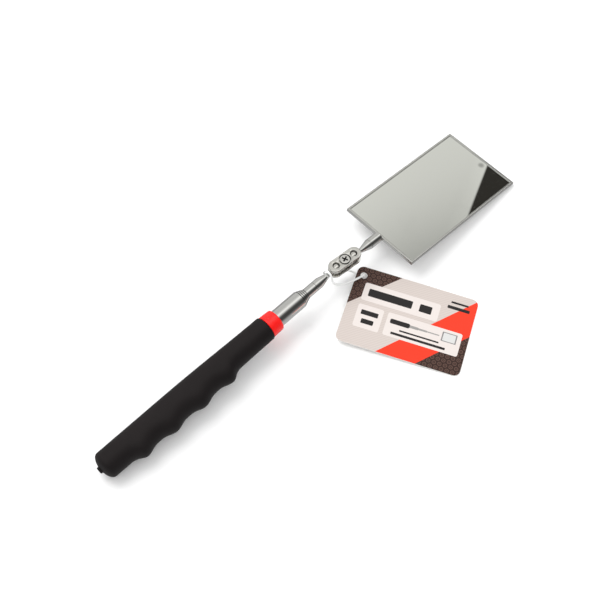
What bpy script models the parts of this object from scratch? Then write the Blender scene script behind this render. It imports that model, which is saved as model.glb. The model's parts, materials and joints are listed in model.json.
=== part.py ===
"""Telescoping inspection mirror: a gripped handle, sliding tubes, a double-ball clamp and a framed mirror.

Metres, +Z up. The tool lies on a flat surface with its handle along +X. It rests on the butt of the
grip and on the far edge of the mirror, so it makes a low tent with the clamp at its ridge. A hang
tag lies beside the clamp, on a loop round the neck of the rod's ball pin.
"""

import math

import bmesh
import bpy
from mathutils import Matrix, Vector

# ---- driving dimensions ----

# Grip: lengths run along the handle from the tip of the butt's nub
grip_length = 0.1132
grip_dome_length = 0.0050
grip_dome_depth = 0.0040
grip_rear_radius = 0.0076
grip_belly_radius = 0.0078
grip_front_radius = 0.0070
grip_belly_place = 0.055
grip_front_round = 0.0008
finger_first = 0.0229
finger_pitch = 0.0193
finger_count = 4
finger_trough = 0.00105
finger_crest = 0.0031
finger_runout = 0.0085
nub_radius = 0.0019
nub_height = 0.0010
vent_radius = 0.0008
nub_shape = ((0.0, 0.72), (0.25, 0.94), (0.7, 1.0), (1.25, 1.2))  # shares of its height and radius

# Collar ring in front of the grip
ring_length = 0.0075
ring_rear_wall = 0.0014
ring_front_wall = 0.00115
ring_front_round = 0.0011
ring_rear_round = 0.0004

# Nest of tubes
tube_radius = 0.0050
tube_wall = 0.00025
tube_step = 0.0005
tube_rear = 0.0070
tube_exposed = 0.0175  # from the collar ring to the mouth of the fixed tube
mouth_stagger = 0.00125
section_count = 4
rear_room = 0.0014  # between the plug and the innermost place of the sliding tubes
lip_length = 0.0008
lip_round = 0.00012
sleeve_length = 0.0040
sleeve_flange = 0.0004
tip_reach = 0.0068
plug_length = 0.0040
plug_chamfer = 0.0004

# Ball pins and clamp
ball_radius = 0.0030
ball_spacing = 0.0127
pin_neck_clearance = 0.00045  # to each plate, for the lean of the pin
pin_neck_end = 0.0055
pin_cone_end = 0.0125
rod_spigot_length = 0.0050
shank_web = 0.0008
rod_pin_collar = 0.0036
shank_radius = 0.0030
shank_length = 0.0081
shank_bore_radius = 0.0017
shank_end_chamfer = 0.0002
plate_width = 0.0080
plate_overhang = 0.0044
plate_thickness = 0.0015
plate_gap = 0.0034
plate_window_inset = 0.0010  # a window is this much smaller than its ball
plate_edge_round = 0.00045
screw_radius = 0.0015
screw_tip_chamfer = 0.0003
plate_dish_clearance = 0.000225  # round the corners of the nut
plate_dish_wall = 0.0005
plate_dish_depth = 0.0012
plate_dish_floor = 0.0008
screw_head_radius = 0.0029
screw_head_height = 0.0014
screw_crown_height = 0.0005
screw_recess_width = 0.0007
screw_recess_span = 0.0034
screw_recess_depth = 0.0010
screw_recess_turn = 25
screw_tail = 0.0006
nut_across_flats = 0.0055
nut_height = 0.0024

# Mirror head
mirror_length = 0.0900
mirror_width = 0.0500
glass_thickness = 0.0012
pad_thickness = 0.0003
sheet_thickness = 0.0004
lip_width = 0.0018
frame_edge_round = 0.00025
tongue_width = 0.0042
tongue_length = 0.0045
tongue_thickness = 0.0003
rivet_radius = 0.0008
tongue_lap = 0.0030
glass_edge_round = 0.0001

# Hang tag: its places are measured from the floor right under the rod's ball
card_length = 0.0690
card_width = 0.0485
card_thickness = 0.0005
card_corner_radius = 0.0035
card_hole_radius = 0.0020
card_hole_inset = (0.0042, 0.0055)
card_corner = (0.0163, -0.0030)
card_turn = math.radians(-61.5)
card_lean = math.radians(2.3)
loop_diameter = 0.0012
lock_radius = 0.0012

# The loop's route, from one face of its lock through the card and round the rod's neck to the other face
loop_route = (
    (0.0071, -0.0006, 0.0046),
    (0.0092, -0.0014, 0.0036),
    (0.0109, -0.0027, 0.0022),
    (0.0120, -0.0046, 0.0011),
    (0.0128, -0.0066, 0.0007),
    (0.0135, -0.0083, 0.0013),
    (0.0140, -0.0094, 0.0029),
    (0.0126, -0.0096, 0.0045),
    (0.0103, -0.0095, 0.0054),
    (0.0070, -0.0091, 0.0062),
    (0.0030, -0.0083, 0.0070),
    (-0.0006, -0.0071, 0.0079),
    (-0.0037, -0.0056, 0.0088),
    (-0.0056, -0.0039, 0.0107),
    (-0.0057, -0.0030, 0.0137),
    (-0.0057, -0.0018, 0.0160),
    (-0.0057, 0.0002, 0.0169),
    (-0.0056, 0.0022, 0.0160),
    (-0.0056, 0.0034, 0.0136),
    (-0.0052, 0.0039, 0.0106),
    (-0.0032, 0.0034, 0.0082),
    (-0.0007, 0.0026, 0.0064),
    (0.0026, 0.0013, 0.0054),
)

# Posture: each ball leans by the same angle, and the clamp is swung a little to one side
ball_lean = math.radians(4.6)
clamp_swing = math.radians(-3.3)
mirror_swing = math.radians(3.9)

# Clearances
running_gap = 0.00015
seat_gap = 0.00012
face_gap = 0.0001
stack_gap = 0.00008
sleeve_inner_gap = 0.00005
sleeve_outer_gap = 0.00004
lip_gap = 0.00012
resting_gap = 0.00005

tube_sides = 32
pin_sides = 24
grip_sides = 32

# ---- sizes that follow ----

grip_bore_radius = tube_radius + running_gap
grip_front_wall = grip_front_radius - grip_bore_radius
grip_front_fillet = min(grip_front_round, grip_front_wall * 0.8)
ring_start = grip_length + face_gap
ring_rear_radius = grip_bore_radius + ring_rear_wall
ring_front_radius = grip_bore_radius + ring_front_wall
ring_front_fillet = min(ring_front_round, ring_front_wall * 0.96)
mouth_place = ring_start + ring_length + tube_exposed
sleeve_room = sleeve_length + sleeve_flange + face_gap  # a sleeve with its flange
section_travel = (
    mouth_place - lip_length - face_gap - sleeve_room - (tube_rear + plug_length + rear_room)
)
rod_ball_place = (
    mouth_place + (section_count - 1) * mouth_stagger + tip_reach - face_gap + rod_pin_collar + pin_cone_end
)
plate_outer = plate_gap / 2 + plate_thickness
pin_neck_radius = plate_gap / 2 - pin_neck_clearance
plate_window_radius = ball_radius - plate_window_inset
nut_corner_radius = nut_across_flats / 2 / math.cos(math.radians(30))
plate_dish_radius = max(nut_corner_radius, screw_head_radius) + plate_dish_clearance
mirror_reach = pin_cone_end + face_gap + shank_length + face_gap
seat_height = plate_outer - plate_dish_depth + face_gap
mirror_thickness = 2 * sheet_thickness + pad_thickness + glass_thickness + 3 * stack_gap


def make_material(name, colour, roughness, metallic=0.0, alpha=1.0):
    material = bpy.data.materials.new(name)
    material.use_nodes = True
    shader = material.node_tree.nodes["Principled BSDF"]
    shader.inputs["Base Color"].default_value = (*colour, 1.0)
    shader.inputs["Roughness"].default_value = roughness
    shader.inputs["Metallic"].default_value = metallic
    shader.inputs["Alpha"].default_value = alpha
    return material


def add_empty(name, matrix, parent=None):
    empty = bpy.data.objects.new(name, None)
    empty.empty_display_size = 0.005
    bpy.context.collection.objects.link(empty)
    empty.parent = parent
    empty.matrix_local = matrix
    return empty


def add_object(name, bm, material, parent, matrix=None, smooth_angle=35):
    """One sub-part from a bmesh, in its parent's frame."""
    mesh = bpy.data.meshes.new(name)
    bm.to_mesh(mesh)
    bm.free()
    mesh.shade_smooth()
    mesh.set_sharp_from_angle(angle=math.radians(smooth_angle))
    obj = bpy.data.objects.new(name, mesh)
    bpy.context.collection.objects.link(obj)
    obj.parent = parent
    obj.matrix_local = matrix or Matrix.Identity(4)
    if material:
        mesh.materials.append(material)
    return obj


def add_cutter(name, bm, target, matrix=None, operation="DIFFERENCE"):
    """A hidden helper in the target's own frame, cut from it or joined to it."""
    cutter = add_object(name, bm, None, target, matrix)
    cutter.hide_render = True
    cutter.display_type = "WIRE"
    modifier = target.modifiers.new(name, "BOOLEAN")
    modifier.operation = operation
    modifier.solver = "EXACT"
    modifier.object = cutter
    return cutter


def face_out(bm):
    """Turns every face outwards."""
    bmesh.ops.recalc_face_normals(bm, faces=bm.faces)
    if bm.calc_volume(signed=True) < 0:
        bmesh.ops.reverse_faces(bm, faces=bm.faces)
    return bm


def turned(profile, sides, closed=False):
    """A shape turned about X from (x, radius) points: a profile that ends on the axis, or a closed ring."""
    bm = bmesh.new()
    points = [bm.verts.new((x, radius, 0)) for x, radius in profile]
    pairs = list(zip(points, points[1:]))
    if closed:
        pairs.append((points[-1], points[0]))
    edges = [bm.edges.new(pair) for pair in pairs]
    bmesh.ops.spin(
        bm, geom=points + edges, cent=(0, 0, 0), axis=(1, 0, 0), angle=math.tau, steps=sides, use_merge=True
    )
    bmesh.ops.remove_doubles(bm, verts=bm.verts, dist=1e-6)
    return face_out(bm)


def arc(centre, radius, start, end, steps):
    """Points (x, radius) along an arc, with angles in degrees measured from +X."""
    angles = [math.radians(start + (end - start) * i / steps) for i in range(steps + 1)]
    return [(centre[0] + radius * math.cos(a), centre[1] + radius * math.sin(a)) for a in angles]


def box(size, centre=(0, 0, 0), round_by=0.0, segments=1):
    bm = bmesh.new()
    bmesh.ops.create_cube(bm, size=1.0)
    bmesh.ops.scale(bm, vec=size, verts=bm.verts)
    if round_by:
        edges = bm.edges[:]
        bmesh.ops.bevel(
            bm, geom=edges, offset=round_by, segments=segments, profile=0.5, affect="EDGES", material=-1
        )
    bmesh.ops.translate(bm, vec=centre, verts=bm.verts)
    return bm


def upright(radius, bottom, top, sides):
    """A cylinder along Z."""
    bm = bmesh.new()
    bmesh.ops.create_cone(
        bm, cap_ends=True, segments=sides, radius1=radius, radius2=radius, depth=top - bottom
    )
    bmesh.ops.translate(bm, vec=(0, 0, (bottom + top) / 2), verts=bm.verts)
    return bm


def sphere(radius, sides):
    """A ball turned about X, like the pins that meet it."""
    return turned(arc((0, 0), radius, 180, 0, sides // 2), sides)


def outline_prism(points, bottom, top):
    """An outline in XY raised from bottom to top."""
    bm = bmesh.new()
    face = bm.faces.new([bm.verts.new((x, y, bottom)) for x, y in points])
    raised = bmesh.ops.extrude_face_region(bm, geom=[face])["geom"]
    bmesh.ops.translate(
        bm, vec=(0, 0, top - bottom), verts=[v for v in raised if isinstance(v, bmesh.types.BMVert)]
    )
    return face_out(bm)


def ease(amount):
    """0 to 1, level at both ends."""
    amount = min(max(amount, 0.0), 1.0)
    return amount * amount * (3 - 2 * amount)


# ---- grip ----


def grip_round_radius(place):
    """The round body of the grip under its finger crests."""
    if place < grip_belly_place:
        share = ease((place - grip_dome_length) / (grip_belly_place - grip_dome_length))
        radius = grip_rear_radius + (grip_belly_radius - grip_rear_radius) * share
    else:
        share = ease((place - grip_belly_place) / (grip_length - grip_belly_place))
        radius = grip_belly_radius + (grip_front_radius - grip_belly_radius) * share
    if place < grip_dome_length:
        depth = (grip_dome_length - place) / grip_dome_depth
        radius *= math.sqrt(max(1 - depth * depth, 0.0))
    if place > grip_length - grip_front_fillet:
        depth = (place - grip_length + grip_front_fillet) / grip_front_fillet
        radius -= grip_front_fillet * (1 - math.sqrt(max(1 - depth * depth, 0.0)))
    return radius


def finger_height(place):
    """How far the front of the grip stands out: four crests with long hollows between them."""
    first, last = finger_first, finger_first + (finger_count - 1) * finger_pitch
    rising = ease((place - first + finger_runout) / finger_runout)
    falling = ease((last + finger_runout - place) / finger_runout)
    wave = (0.5 + 0.5 * math.cos(math.tau * (place - first) / finger_pitch)) ** 1.5
    rise = (finger_crest - finger_trough) * wave
    inside = first - finger_pitch / 2 < place < last + finger_pitch / 2
    return rising * falling * (finger_trough + rise) if inside else 0.0


def grip_ring(bm, place, radius=None):
    """One ring of the grip's outer skin, or a plain circle of the given radius."""
    ring = []
    for i in range(grip_sides):
        angle = math.tau * i / grip_sides
        reach = radius
        if radius is None:
            front = max(-math.sin(angle), 0.0)
            reach = grip_round_radius(place) + finger_height(place) * front * front
        ring.append(bm.verts.new((place, reach * math.sin(angle), reach * math.cos(angle))))
    return ring


def build_grip(parent, material):
    dome_pole = grip_dome_length - grip_dome_depth
    nub_top = dome_pole - nub_height
    dome = [
        grip_dome_length - grip_dome_depth * math.cos(math.radians(angle)) for angle in (30, 45, 60, 75, 90)
    ]
    body_end = grip_length - grip_front_fillet
    body_steps = 42
    body = [
        grip_dome_length + (body_end - grip_dome_length) * i / body_steps for i in range(1, body_steps + 1)
    ]
    front = [body_end + grip_front_fillet * share for share in (0.5, 0.87, 1.0)]
    bm = bmesh.new()
    rings = [
        grip_ring(bm, tube_rear - face_gap, vent_radius),
        grip_ring(bm, nub_top, vent_radius),
        *(grip_ring(bm, nub_top + nub_height * up, nub_radius * out) for up, out in nub_shape),
    ]
    rings += [grip_ring(bm, place) for place in dome + body + front]
    rings += [
        grip_ring(bm, grip_length, grip_bore_radius),
        grip_ring(bm, tube_rear - face_gap, grip_bore_radius),
    ]
    for one, other in zip(rings, rings[1:] + rings[:1]):
        for i in range(grip_sides):
            j = (i + 1) % grip_sides
            bm.faces.new((one[i], one[j], other[j], other[i]))
    return add_object("grip_sleeve", face_out(bm), material, parent)


def build_ring(parent, material):
    front = ring_start + ring_length
    profile = [(ring_start, grip_bore_radius), (front, grip_bore_radius)]
    profile += arc(
        (front - ring_front_fillet, ring_front_radius - ring_front_fillet), ring_front_fillet, 0, 90, 4
    )
    profile += arc(
        (ring_start + ring_rear_round, ring_rear_radius - ring_rear_round), ring_rear_round, 90, 180, 2
    )
    return add_object("collar_ring", turned(profile, tube_sides, closed=True), material, parent)


# ---- nest of tubes ----


def section_radius(index):
    """Outer radius of a tube: 0 is the fixed one."""
    return tube_radius - index * tube_step


def section_mouth(index):
    """Place of a tube's front end, with the nest closed."""
    if index == section_count:
        return mouth_place + (section_count - 1) * mouth_stagger + tip_reach - 2 * face_gap
    return mouth_place + index * mouth_stagger


def section_rear(index):
    """Place of a tube's rear end, so that its sleeve meets the lip in front of it at full travel."""
    if index == 0:
        return tube_rear
    sleeve_front = section_mouth(index - 1) - lip_length - face_gap - section_travel
    return sleeve_front - sleeve_room


def build_tube(index, name, parent, material):
    outer = section_radius(index)
    bore = outer - tube_wall
    rear, mouth = section_rear(index), section_mouth(index)
    profile = []
    if index == 0:
        profile += [(rear, bore), (rear, outer)]
    else:
        flange = section_radius(index - 1) - tube_wall - sleeve_outer_gap
        step = rear + sleeve_flange
        profile += [(rear, bore), (rear, flange), (step, flange), (step, outer)]
    profile += [(mouth - lip_round, outer), (mouth, outer - lip_round)]
    if index < section_count:
        lip_bore = section_radius(index + 1) + lip_gap
        profile += [(mouth, lip_bore), (mouth - lip_length, lip_bore), (mouth - lip_length, bore)]
    else:
        profile += [(mouth, bore)]
    return add_object(name, turned(profile, tube_sides, closed=True), material, parent)


def build_sleeve(index, parent, material):
    """The brass friction sleeve on the rear end of a sliding tube."""
    inner = section_radius(index) + sleeve_inner_gap
    outer = section_radius(index - 1) - tube_wall - sleeve_outer_gap
    start = section_rear(index) + sleeve_flange + face_gap
    end = start + sleeve_length
    profile = [(start, inner), (start, outer), (end, outer), (end, inner)]
    return add_object(f"section_{index}_sleeve", turned(profile, tube_sides, closed=True), material, parent)


def build_plug(parent, material):
    """The stopper in the rear of the fixed tube."""
    radius = tube_radius - tube_wall - running_gap / 2
    profile = [
        (tube_rear, 0),
        (tube_rear, radius),
        (tube_rear + plug_length - plug_chamfer, radius),
        (tube_rear + plug_length, radius - plug_chamfer),
        (tube_rear + plug_length, 0),
    ]
    return add_object("rear_plug", turned(profile, tube_sides), material, parent)


# ---- ball pins: each is built from its ball's centre, pointing away from the clamp along +X ----


def pin_profile():
    """Cupped end round the ball, neck and cone."""
    cup = ball_radius + seat_gap
    half = math.degrees(math.asin(pin_neck_radius / cup))
    profile = arc((0, 0), cup, 0, half, 3)
    profile += [(pin_neck_end, pin_neck_radius), (pin_cone_end, shank_radius)]
    return profile


def build_rod_pin(parent, material):
    collar_end = pin_cone_end + rod_pin_collar
    spigot = section_radius(section_count) - tube_wall - running_gap
    profile = pin_profile() + [
        (collar_end, shank_radius),
        (collar_end, spigot),
        (collar_end + rod_spigot_length, spigot),
        (collar_end + rod_spigot_length, 0),
    ]
    turn = Matrix.Rotation(math.pi, 4, "Z")
    return add_object("rod_pin", turned(profile, pin_sides), material, parent, turn)


def shank_bore_end():
    """The shank's bore stops short of the slot for the tongue."""
    return mirror_reach - tongue_length - shank_web


def build_mirror_pin(parent, material):
    spigot = shank_bore_radius - running_gap
    profile = pin_profile() + [
        (pin_cone_end, spigot),
        (shank_bore_end() - face_gap, spigot),
        (shank_bore_end() - face_gap, 0),
    ]
    return add_object("mirror_pin", turned(profile, pin_sides), material, parent)


def build_shank(parent, material):
    """The round bar between the ball pin and the mirror frame, slotted for the frame's tongue."""
    start = pin_cone_end + face_gap
    end = mirror_reach - face_gap
    bore_end = shank_bore_end()
    bore = shank_bore_radius
    profile = [
        (bore_end, 0),
        (bore_end, bore),
        (start, bore),
        (start, shank_radius),
        (end - shank_end_chamfer, shank_radius),
        (end, shank_radius - shank_end_chamfer),
        (end, 0),
    ]
    shank = add_object("mirror_shank", turned(profile, pin_sides), material, parent)
    slot_length = end - (mirror_reach - tongue_length) + face_gap
    slot = (slot_length * 2, shank_radius * 3, tongue_thickness + 2 * stack_gap)
    add_cutter("slot_cutter", box(slot, (end, 0, tongue_height())), shank)
    hole = upright(rivet_radius + stack_gap, -shank_radius * 2, shank_radius * 0.35, 16)
    add_cutter("rivet_hole_cutter", hole, shank, Matrix.Translation((rivet_place(), 0, 0)))
    return shank


def tongue_height():
    return -mirror_thickness / 2 + sheet_thickness / 2


def rivet_place():
    return mirror_reach - tongue_length * 0.52


# ---- clamp: built from the middle between the balls, plates flat in XY ----


def stadium(length, radius, steps):
    """An oblong with round ends, about the origin."""
    points = []
    for side, start in ((1, -90), (-1, 90)):
        points += arc((side * length / 2, 0), radius, start, start + 180, steps)
    return points


def build_plate(name, side, parent, material):
    bottom, top = sorted((side * plate_gap / 2, side * plate_outer))
    end_radius = plate_width / 2
    straight = ball_spacing + 2 * (plate_overhang - end_radius)
    bm = outline_prism(stadium(straight, end_radius, 12), bottom, top)
    rim = [
        edge
        for edge in bm.edges
        if all(abs(vert.co.z - side * plate_outer) < 1e-7 for vert in edge.verts)
    ]
    bmesh.ops.bevel(
        bm, geom=rim, offset=plate_edge_round, segments=2, profile=0.5, affect="EDGES", material=-1
    )
    plate = add_object(name, bm, material, parent)
    floor = side * (plate_outer - plate_dish_depth)
    under, over = sorted((floor - side * plate_dish_floor, side * (plate_outer - plate_edge_round)))
    boss = upright(plate_dish_radius + plate_dish_wall, under, over, 32)
    add_cutter(f"{name}_boss", boss, plate, operation="UNION")
    under, over = sorted((floor, side * 2 * plate_outer))
    add_cutter(f"{name}_dish", upright(plate_dish_radius, under, over, 32), plate)
    for number, place in enumerate((-ball_spacing / 2, ball_spacing / 2)):
        seat = sphere(ball_radius + seat_gap, 32)
        add_cutter(f"{name}_seat_{number}", seat, plate, Matrix.Translation((place, 0, 0)))
        window = upright(plate_window_radius, -2 * plate_outer, 2 * plate_outer, 24)
        add_cutter(f"{name}_window_{number}", window, plate, Matrix.Translation((place, 0, 0)))
    hole = upright(screw_radius + running_gap, -2 * plate_outer, 2 * plate_outer, pin_sides)
    add_cutter(f"{name}_screw_hole", hole, plate)
    return plate


def build_screw(parent, material):
    seat = seat_height
    tail = -seat_height - nut_height - screw_tail
    profile = [
        (tail, 0),
        (tail, screw_radius - screw_tip_chamfer),
        (tail + screw_tip_chamfer, screw_radius),
        (seat, screw_radius),
        (seat, screw_head_radius),
        (seat + screw_head_height - screw_crown_height, screw_head_radius),
        (seat + screw_head_height - screw_crown_height * 0.35, screw_head_radius * 0.88),
        (seat + screw_head_height, screw_head_radius * 0.55),
        (seat + screw_head_height, 0),
    ]
    stand = Matrix.Rotation(-math.pi / 2, 4, "Y")
    screw = add_object("clamp_screw", turned(profile, pin_sides), material, parent, stand)
    top = seat + screw_head_height
    for number in range(2):
        bar = box((screw_recess_depth * 2, screw_recess_span, screw_recess_width), (top, 0, 0))
        turn = Matrix.Rotation(math.radians(screw_recess_turn + 90 * number), 4, "X")
        add_cutter(f"recess_cutter_{number}", bar, screw, turn)
    return screw


def build_nut(parent, material):
    top = -seat_height
    hexagon = upright(nut_corner_radius, top - nut_height, top, 6)
    nut = add_object("clamp_nut", hexagon, material, parent)
    hole = upright(screw_radius + running_gap / 2, top - 2 * nut_height, top + nut_height, pin_sides)
    add_cutter("nut_hole_cutter", hole, nut)
    return nut


# ---- mirror head: built from the mirror ball's centre, with the head along +X and its face up ----


def build_head(parent, materials):
    centre = mirror_reach + mirror_length / 2
    half = mirror_thickness / 2
    frame = add_object(
        "mirror_frame",
        box((mirror_length, mirror_width, mirror_thickness), (centre, 0, 0), frame_edge_round, 2),
        materials["chrome"],
        parent,
    )
    inner = (mirror_length - 2 * sheet_thickness, mirror_width - 2 * sheet_thickness)
    pocket = box((*inner, mirror_thickness - 2 * sheet_thickness), (centre, 0, 0))
    add_cutter("pocket_cutter", pocket, frame)
    window = (mirror_length - 2 * lip_width, mirror_width - 2 * lip_width)
    add_cutter("window_cutter", box((*window, mirror_thickness), (centre, 0, half)), frame)
    tongue = box(
        (tongue_length + tongue_lap, tongue_width, tongue_thickness),
        (mirror_reach + (tongue_lap - tongue_length) / 2, 0, tongue_height()),
    )
    add_cutter("tongue", tongue, frame, operation="UNION")
    hole = upright(rivet_radius + stack_gap, tongue_height() * 2, 0, 16)
    add_cutter("tongue_hole_cutter", hole, frame, Matrix.Translation((rivet_place(), 0, 0)))

    floor = -half + sheet_thickness + stack_gap
    slack = running_gap
    pad = (inner[0] - 4 * slack, inner[1] - 4 * slack, pad_thickness)
    pad_centre = (centre, 0, floor + pad_thickness / 2)
    add_object("backing_pad", box(pad, pad_centre), materials["card"], parent)
    glass_floor = floor + pad_thickness + stack_gap
    glass = (inner[0] - 2 * slack, inner[1] - 2 * slack, glass_thickness)
    glass_centre = (centre, 0, glass_floor + glass_thickness / 2)
    add_object("mirror_glass", box(glass, glass_centre, glass_edge_round), materials["mirror"], parent)

    rivet = upright(rivet_radius, -shank_radius + 0.0002, shank_radius * 0.3, 16)
    stand = Matrix.Translation((rivet_place(), 0, 0))
    add_object("tongue_rivet", rivet, materials["chrome"], parent, stand)


# ---- hang tag ----


def build_card(parent, material):
    """The card from its holed corner: length along +X, width along -Y, leaning on its far short edge."""
    round_by = card_corner_radius
    points = []
    for x, y, start in (
        (card_length - round_by, -round_by, 0),
        (round_by, -round_by, 90),
        (round_by, round_by - card_width, 180),
        (card_length - round_by, round_by - card_width, 270),
    ):
        points += arc((x, y), round_by, start, start + 90, 4)
    place = Matrix.Translation((*card_corner, card_length * math.sin(card_lean) + resting_gap))
    place = place @ Matrix.Rotation(card_turn, 4, "Z") @ Matrix.Rotation(card_lean, 4, "Y")
    card = add_object("tag_card", outline_prism(points, 0, card_thickness), material, parent, place)
    hole = upright(card_hole_radius, -card_thickness * 2, card_thickness * 4, 24)
    inset = Matrix.Translation((card_hole_inset[0], -card_hole_inset[1], 0))
    add_cutter("card_hole_cutter", hole, card, inset)
    return card


def smooth_route(route, steps):
    """Points on one smooth curve through the route's own points."""
    points = [Vector(point) for point in route]
    padded = [2 * points[0] - points[1]] + points + [2 * points[-1] - points[-2]]
    found = [points[0]]
    for before, start, end, after in zip(padded, padded[1:], padded[2:], padded[3:]):
        for step in range(1, steps + 1):
            t = step / steps
            bend = 2 * before - 5 * start + 4 * end - after
            twist = 3 * start - before - 3 * end + after
            found.append(start + (end - before) * (t / 2) + bend * (t * t / 2) + twist * (t**3 / 2))
    return found


def build_loop(parent, material):
    curve = bpy.data.curves.new("tag_loop", "CURVE")
    curve.dimensions = "3D"
    curve.bevel_depth = loop_diameter / 2
    curve.bevel_resolution = 2
    curve.use_fill_caps = True
    curve.materials.append(material)
    points = smooth_route(loop_route, 2)
    spline = curve.splines.new("POLY")
    spline.points.add(len(points) - 1)
    for slot, point in zip(spline.points, points):
        slot.co = (*point, 1)
    loop = bpy.data.objects.new("tag_loop", curve)
    bpy.context.collection.objects.link(loop)
    loop.parent = parent


def build_lock(parent, material):
    """The barrel that both ends of the loop snap into."""
    start, end = Vector(loop_route[-1]), Vector(loop_route[0])
    along = end - start
    half = along.length / 2 - 3 * face_gap
    edge = lock_radius * 0.25
    profile = [
        (-half, 0),
        (-half, lock_radius - edge),
        (edge - half, lock_radius),
        (half - edge, lock_radius),
        (half, lock_radius - edge),
        (half, 0),
    ]
    place = Matrix.Translation((start + end) / 2) @ along.to_track_quat("X", "Z").to_matrix().to_4x4()
    add_object("loop_lock", turned(profile, 16), material, parent, place)


def under(target, carrier):
    """The place of the floor right under the target, upright, in the carrier's frame."""
    bpy.context.view_layer.update()
    above = target.matrix_world.translation
    return carrier.matrix_world.inverted() @ Matrix.Translation((above.x, above.y, 0))


def main():
    for obj in list(bpy.data.objects):
        bpy.data.objects.remove(obj, do_unlink=True)
    materials = {
        "rubber": make_material("grip_rubber", (0.016, 0.012, 0.013), 0.62),
        "red": make_material("red_gloss", (0.80, 0.010, 0.008), 0.18),
        "chrome": make_material("chrome", (0.78, 0.78, 0.76), 0.10, 1.0),
        "nickel": make_material("nickel", (0.62, 0.61, 0.57), 0.28, 1.0),
        "brass": make_material("brass", (0.66, 0.48, 0.20), 0.30, 1.0),
        "plastic": make_material("plug_plastic", (0.62, 0.60, 0.55), 0.55),
        "mirror": make_material("mirror", (0.86, 0.87, 0.86), 0.02, 1.0),
        "card": make_material("backing_card", (0.42, 0.34, 0.24), 0.85),
        "print": make_material("tag_print", (0.76, 0.73, 0.70), 0.45),
        "loop": make_material("loop_plastic", (0.86, 0.88, 0.87), 0.30),
    }

    # From the handle's frame to each ball and to the clamp and mirror beyond it
    to_rod_ball = Matrix.Translation((rod_ball_place, 0, 0))
    to_clamp = to_rod_ball @ Matrix.Rotation(ball_lean, 4, "Y") @ Matrix.Rotation(clamp_swing, 4, "Z")
    to_mirror_ball = to_clamp @ Matrix.Translation((ball_spacing, 0, 0))
    to_mirror_ball = to_mirror_ball @ Matrix.Rotation(mirror_swing, 4, "Z")
    to_head = to_mirror_ball @ Matrix.Rotation(ball_lean, 4, "Y")

    # The handle's slope puts the butt and the mirror's far edge on the same level
    far_x = mirror_reach + mirror_length
    half_width = mirror_width / 2
    corners = [
        to_head @ Vector((x, side * half_width, -mirror_thickness / 2))
        for x in (mirror_reach, far_x)
        for side in (-1, 1)
    ]
    butt = Vector((grip_dome_length, 0, -grip_rear_radius))
    slope = max(math.atan2(-(far.z - butt.z), far.x - butt.x) for far in corners[2:])
    tilt = Matrix.Rotation(-slope, 4, "Y")
    ends = [tilt @ point for point in corners]
    nub = tilt @ Vector((0, 0, nub_radius * nub_shape[0][1]))
    shift = Vector((
        -(min(nub.x, 0) + max(end.x for end in ends)) / 2,
        -(min(end.y for end in ends) + max(end.y for end in ends)) / 2,
        -(tilt @ butt).z,
    ))
    tool = add_empty("tool", Matrix.Translation(shift) @ tilt)

    build_grip(tool, materials["rubber"])
    build_ring(tool, materials["red"])
    build_tube(0, "outer_tube", tool, materials["chrome"])
    build_plug(tool, materials["plastic"])
    carrier = tool
    for index in range(1, section_count + 1):
        carrier = add_empty(f"slide_{index}", Matrix.Identity(4), carrier)
        build_tube(index, f"section_{index}_tube", carrier, materials["chrome"])
        build_sleeve(index, carrier, materials["brass"])

    rod_joint = add_empty("rod_ball_centre", to_rod_ball, carrier)
    build_rod_pin(rod_joint, materials["chrome"])
    ball_turn = add_empty("rod_ball_turn", Matrix.Rotation(ball_lean, 4, "Y"), rod_joint)
    add_object("rod_ball", sphere(ball_radius, 28), materials["nickel"], ball_turn)
    swing = add_empty("clamp_turn", Matrix.Rotation(clamp_swing, 4, "Z"), ball_turn)
    clamp = add_empty("clamp", Matrix.Translation((ball_spacing / 2, 0, 0)), swing)
    build_plate("clamp_plate_front", 1, clamp, materials["nickel"])
    build_plate("clamp_plate_rear", -1, clamp, materials["nickel"])
    build_screw(clamp, materials["nickel"])
    build_nut(clamp, materials["nickel"])
    place = Matrix.Translation((ball_spacing / 2, 0, 0)) @ Matrix.Rotation(mirror_swing, 4, "Z")
    mirror_joint = add_empty("mirror_ball_turn", place, clamp)
    add_object("mirror_ball", sphere(ball_radius, 28), materials["nickel"], mirror_joint)
    head = add_empty("head", Matrix.Rotation(ball_lean, 4, "Y"), mirror_joint)
    build_mirror_pin(head, materials["chrome"])
    build_shank(head, materials["chrome"])
    build_head(head, materials)

    tag = add_empty("tag", under(rod_joint, carrier), carrier)
    build_card(tag, materials["print"])
    build_loop(tag, materials["loop"])
    build_lock(tag, materials["loop"])


main()
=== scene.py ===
import bmesh
import bpy
import json
import math
from mathutils import Matrix, Vector


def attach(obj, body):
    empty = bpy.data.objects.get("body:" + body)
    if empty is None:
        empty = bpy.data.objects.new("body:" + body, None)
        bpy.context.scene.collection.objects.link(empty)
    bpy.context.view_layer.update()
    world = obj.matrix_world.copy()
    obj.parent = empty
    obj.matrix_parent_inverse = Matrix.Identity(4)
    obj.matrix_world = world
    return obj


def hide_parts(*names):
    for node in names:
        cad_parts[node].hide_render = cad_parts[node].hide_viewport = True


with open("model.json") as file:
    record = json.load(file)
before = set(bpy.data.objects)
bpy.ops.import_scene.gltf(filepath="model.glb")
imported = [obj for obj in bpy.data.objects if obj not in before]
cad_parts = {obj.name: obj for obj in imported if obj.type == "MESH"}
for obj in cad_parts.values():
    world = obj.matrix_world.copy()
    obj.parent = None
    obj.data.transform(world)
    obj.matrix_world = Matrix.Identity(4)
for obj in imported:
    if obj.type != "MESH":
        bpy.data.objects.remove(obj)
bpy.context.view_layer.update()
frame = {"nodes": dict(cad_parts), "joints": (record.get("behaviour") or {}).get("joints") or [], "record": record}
joints = {joint["name"]: joint for joint in frame["joints"]}
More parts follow.
